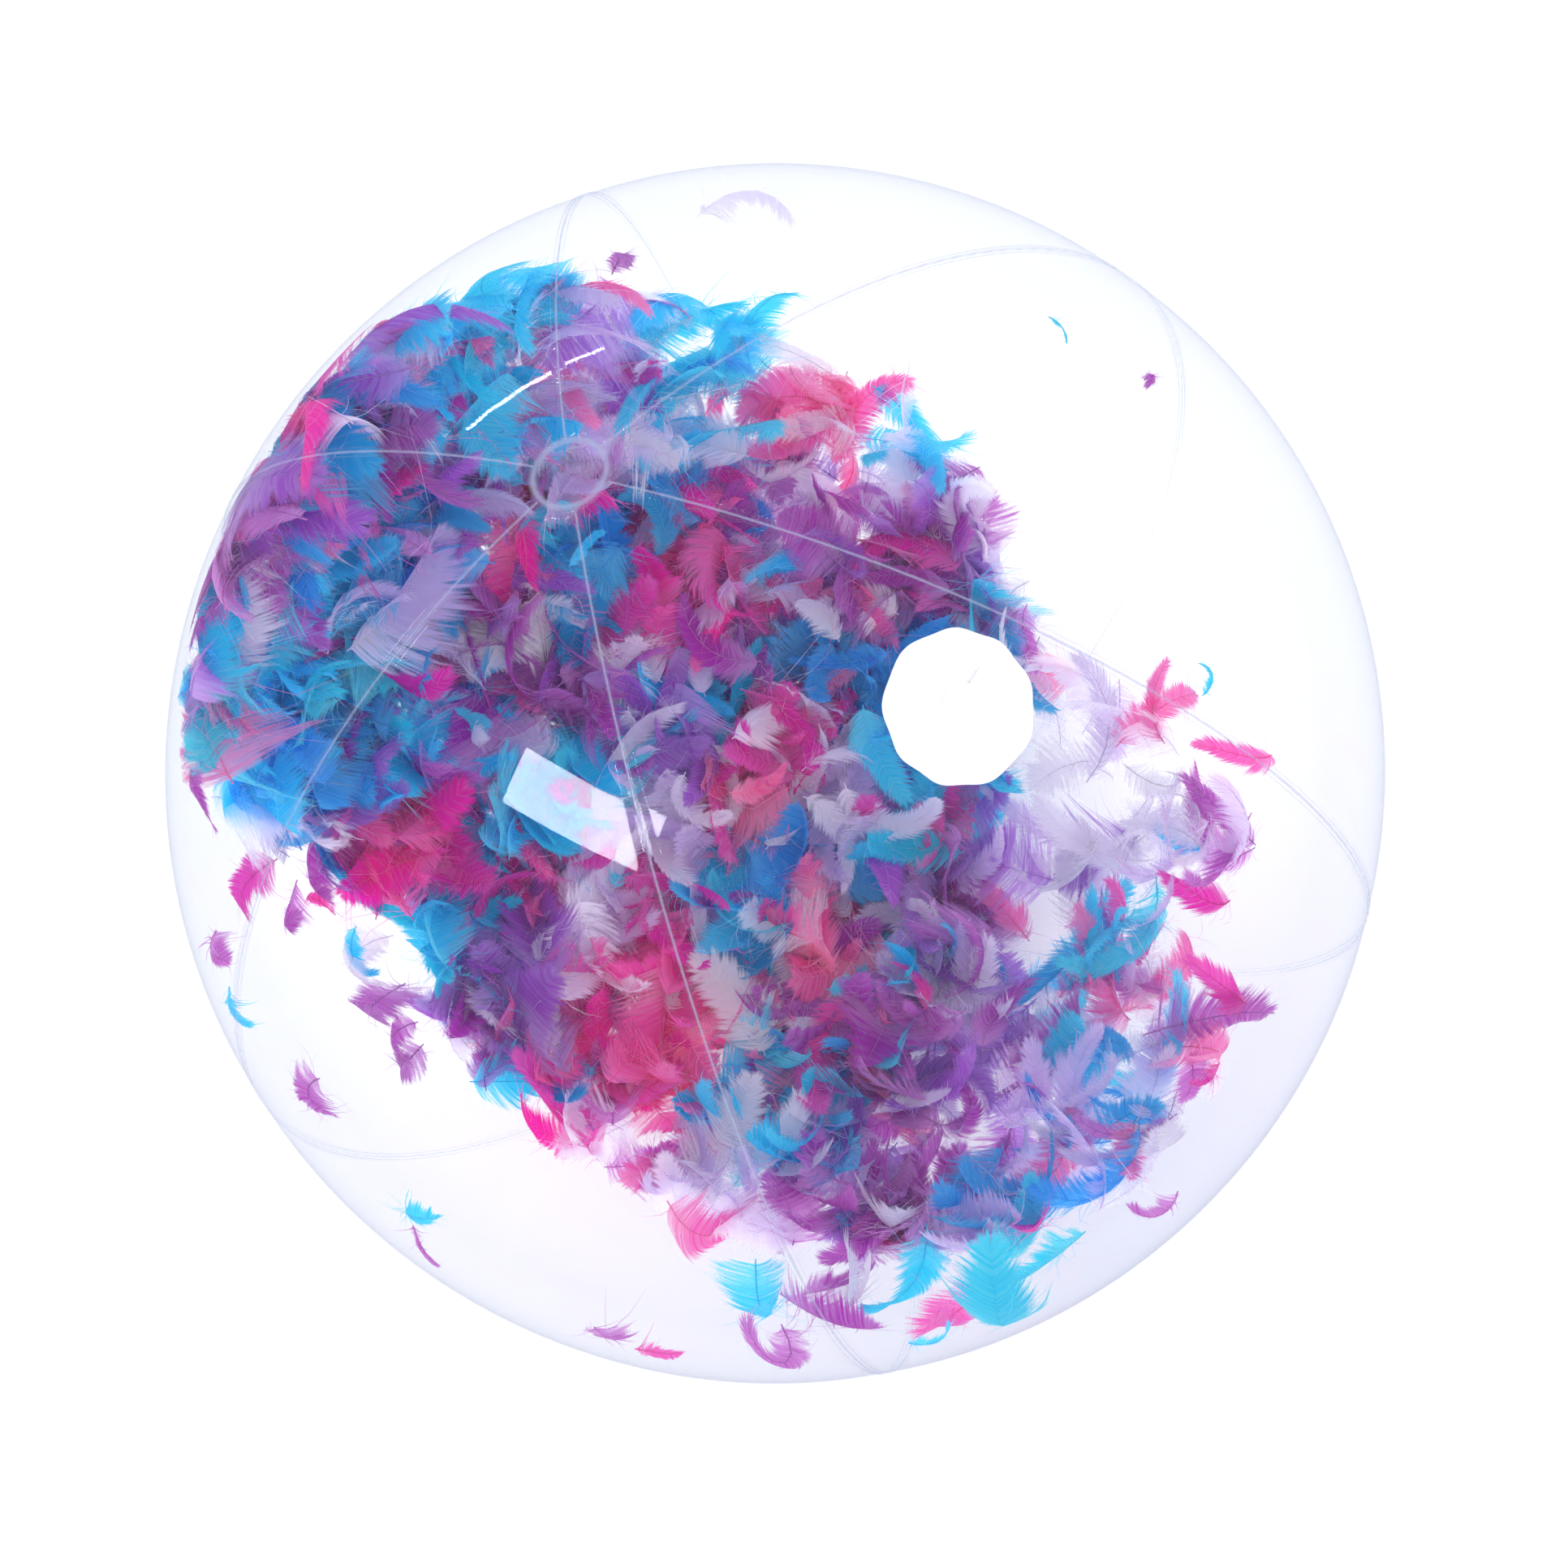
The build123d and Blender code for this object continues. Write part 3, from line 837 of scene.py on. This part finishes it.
def pick_colour(rng, place, pale=0.0):
    """Some are pale, most of the rest take the colour of the nearest patch, and the others mix freely."""
    if rng.random() < PALE_PICK[0] + PALE_PICK[1] * pale:
        return ("lilac", "white", "white", "pink")[rng.integers(4)]
    if rng.random() < PATCH_SHARE:
        ray = unit(place)
        best, found = 0, "purple"
        for colour, spots in PATCHES.items():
            near = direction(*np.array(spots, dtype=float).T) @ ray
            score = near.max() + rng.normal(0, PATCH_BLUR)
            if score > best:
                best, found = score, colour
        swap = {"purple": "violet", "lilac": "white"}
        return swap[found] if found in swap and rng.random() < SWAP_SHARE else found
    return COLOURS[rng.choice(len(COLOURS), p=COLOUR_SHARES)]


def join(made):
    """Many feathers as one mesh's points, faces and shading values."""
    starts = np.cumsum([0] + [len(points) for points, _, _ in made[:-1]])
    points = np.concatenate([points for points, _, _ in made])
    faces = np.concatenate([faces + start for (_, faces, _), start in zip(made, starts)])
    values = {key: np.concatenate([shading[key] for _, _, shading in made]) for key in made[0][2]}
    return points, faces, values


# The feathers that lie by themselves on the film: colour, azimuth, angle from the bottom, which way the quill
# points (0 along the increasing azimuth, 90 upwards), all in degrees, and length in mm
STRAYS = (
    ("cyan", 358, 96, 210, 16), ("purple", 346, 96, 120, 26), ("white", 28, 124, 190, 50),
    ("cyan", 58, 114, 110, 52), ("purple", 46, 112, 120, 40), ("purple", 130, 114, 10, 34),
    ("magenta", 134, 98, 50, 74), ("purple", 136, 90, 30, 52), ("magenta", 132, 84, 100, 34),
    ("white", 138, 78, 50, 74), ("cyan", 138, 78, 0, 38), ("purple", 144, 76, 60, 72),
    ("purple", 148, 74, 60, 64), ("purple", 152, 74, 60, 48), ("purple", 158, 96, 50, 48),
    ("purple", 150, 118, 280, 26), ("cyan", 156, 116, 330, 20), ("cyan", 174, 92, 270, 32),
    ("purple", 182, 104, 340, 20), ("cyan", 206, 68, 70, 80), ("purple", 214, 62, 330, 46),
    ("purple", 214, 70, 30, 62), ("white", 216, 66, 80, 90), ("purple", 214, 88, 90, 62),
    ("cyan", 224, 62, 110, 74), ("magenta", 228, 76, 110, 88), ("cyan", 234, 86, 90, 66),
    ("cyan", 240, 70, 180, 48), ("cyan", 228, 90, 350, 24), ("white", 232, 54, 190, 50),
    ("magenta", 240, 60, 100, 44), ("purple", 252, 82, 160, 30), ("purple", 198, 92, 280, 32),
    ("magenta", 204, 96, 340, 20), ("magenta", 312, 62, 300, 54), ("purple", 306, 56, 330, 60),
    ("white", 304, 50, 250, 46), ("magenta", 294, 52, 290, 56), ("magenta", 280, 60, 290, 58),
    ("magenta", 286, 40, 50, 54), ("purple", 280, 42, 270, 52), ("cyan", 304, 48, 300, 38),
    ("purple", 268, 60, 130, 40), ("cyan", 264, 50, 240, 48), ("cyan", 324, 62, 60, 26),
    ("magenta", 268, 64, 170, 24), ("white", 258, 64, 90, 60),
)

# The feathers that stand out on top of the bed, given in the same way
TOP_FEATHERS = (
    ("lilac", 97, 100, 190, 84), ("lilac", 102, 108, 200, 60), ("white", 44, 10, 250, 68),
    ("white", 99, 32, 300, 60), ("purple", 62, 50, 60, 76), ("purple", 34, 60, 50, 62),
    ("purple", 17, 52, 10, 56), ("cyan", 113, 59, 290, 62), ("lilac", 67, 87, 60, 64),
    ("cyan", 70, 79, 160, 34), ("cyan", 221, 18, 10, 54), ("magenta", 139, 34, 340, 58),
    ("white", 147, 44, 320, 50), ("lilac", 250, 44, 320, 60), ("purple", 238, 26, 220, 70),
    ("pink", 74, 24, 200, 48), ("white", 35, 48, 60, 44), ("cyan", 114, 105, 90, 60),
    ("magenta", 246, 21, 280, 40), ("purple", 87, 60, 280, 60),
)


def stray_feathers(rng):
    groups = {colour: [] for colour in STRAY_COLOURS}
    for colour, azimuth, from_bottom, turn, length in STRAYS:
        place = direction(azimuth, from_bottom) * (BALL_RADIUS - 6 * MM)
        made = lay_feather(rng, feather(rng, KINDS[rng.integers(2)], length), place, 20, turn)
        # Lone feathers are dyed paler: painted light, for the light that shines through them from behind.
        made[2]["tone"] *= 0.75
        groups[colour].append(made)
    return groups


def pile_feathers(rng):
    groups = {colour: [] for colour in COLOURS}
    for place, lean, pale in pile_places(rng):
        kind = KINDS[1] if rng.random() < 0.6 * pale else None
        made = lay_feather(rng, feather(rng, kind), place, lean)
        # Paler dye where the bed is thin: painted light, for the light that shines through it from behind.
        made[2]["tone"] *= 1 - 0.4 * pale
        made[2]["thin"] += 0.15 * pale
        groups[pick_colour(rng, place, pale)].append(made)
    for colour, azimuth, from_bottom, turn, length in TOP_FEATHERS:
        ray = direction(azimuth, from_bottom)
        place = ray * (BALL_RADIUS - bed_depth(ray) - 5 * MM)
        made = feather(rng, KINDS[rng.integers(2)], length)
        groups[colour].append(lay_feather(rng, made, place, 12, turn))
    return groups


def feather_pieces():
    rng = np.random.default_rng(SEED)
    materials = {c: plume_material(f"{c}_plume", *PLUME_COLOURS[c]) for c in COLOURS}
    for prefix, groups in (("", pile_feathers(rng)), ("stray_", stray_feathers(rng))):
        body = frame_body(f"{prefix}purple_feathers")
        for colour, made in groups.items():
            points, faces, values = join(made)
            node = f"{prefix}{colour}_feathers"
            make_object(f"{prefix}{colour}_plumes", points, faces, body, [node],
                        materials[colour], values)


def frame_body(node):
    """The body that a node belongs to."""
    bodies = frame["record"]["behaviour"]["bodies"]
    return next(name for name, nodes in bodies.items() if node in nodes)


# The stage


def make_floor():
    level = cad_box[0][2] - FLOOR_GAP
    corners = np.array([(-1, -1, 0), (1, -1, 0), (1, 1, 0), (-1, 1, 0)]) * FLOOR_HALF_SIZE + UP * level
    floor = make_object("floor", corners, [(0, 1, 2, 3)], None, None, floor_material())


def make_lights():
    """A soft studio: a sky that is brighter one way, and lights that show only in reflections."""
    world = bpy.data.worlds.new("studio")
    world.use_nodes = True
    bpy.context.scene.world = world
    tree = world.node_tree
    way = tree.nodes.new("ShaderNodeTexCoord")
    along = tree.nodes.new("ShaderNodeVectorMath")
    along.operation = "DOT_PRODUCT"
    along.inputs[1].default_value = SKY_BRIGHT_WAY
    tree.links.new(way.outputs["Generated"], along.inputs[0])
    glow = tree.nodes.new("ShaderNodeMapRange")
    tree.links.new(along.outputs["Value"], glow.inputs["Value"])
    glow.inputs["From Min"].default_value = SKY_FADE[0]
    glow.inputs["From Max"].default_value = SKY_FADE[1]
    mixed = tree.nodes.new("ShaderNodeMix")
    mixed.data_type = "RGBA"
    tree.links.new(glow.outputs["Result"], mixed.inputs[0])
    mixed.inputs[6].default_value = rgba(SKY[0])
    mixed.inputs[7].default_value = rgba(SKY[1])
    tree.links.new(mixed.outputs[2], tree.nodes["Background"].inputs["Color"])
    for name, (spot, way, size, roll, power) in LIGHTS.items():
        data = bpy.data.lights.new(name, "AREA")
        data.shape = "RECTANGLE"
        data.size, data.size_y = size
        data.energy = power
        light = bpy.data.objects.new(name, data)
        bpy.context.scene.collection.objects.link(light)
        light.visible_diffuse = False
        ray = Vector(direction(way[0], 90 + way[1]))
        light.location = Vector(direction(*spot)) * BALL_RADIUS + ray * LIGHT_DISTANCE
        light.rotation_mode = "QUATERNION"
        turned = Quaternion((0, 0, 1), math.radians(roll))
        light.rotation_quaternion = (-ray).to_track_quat("-Z", "Y") @ turned


def make_camera():
    data = bpy.data.cameras.new("camera")
    data.lens = LENS
    data.sensor_width = SENSOR_WIDTH
    data.shift_x, data.shift_y = SHIFT
    data.clip_start = 0.01
    camera = bpy.data.objects.new("camera", data)
    bpy.context.scene.collection.objects.link(camera)
    back = Vector(direction(VIEW_AZIMUTH, 90 + VIEW_ELEVATION))
    level = Vector((0, 0, 1)).cross(back).normalized()
    above = back.cross(level)
    roll = math.radians(VIEW_ROLL)
    right = level * math.cos(roll) - above * math.sin(roll)
    up = above * math.cos(roll) + level * math.sin(roll)
    camera.matrix_world = Matrix(
        [(*(axis[row] for axis in (right, up, back)), back[row] * VIEW_DISTANCE) for row in range(3)]
        + [(0, 0, 0, 1)]
    )
    bpy.context.scene.camera = camera


scene = bpy.context.scene
scene.view_settings.view_transform = "Standard"
scene.cycles.transparent_max_bounces = 48

make_camera()
film_pieces()
valve_pieces()
feather_pieces()
make_floor()
make_lights()
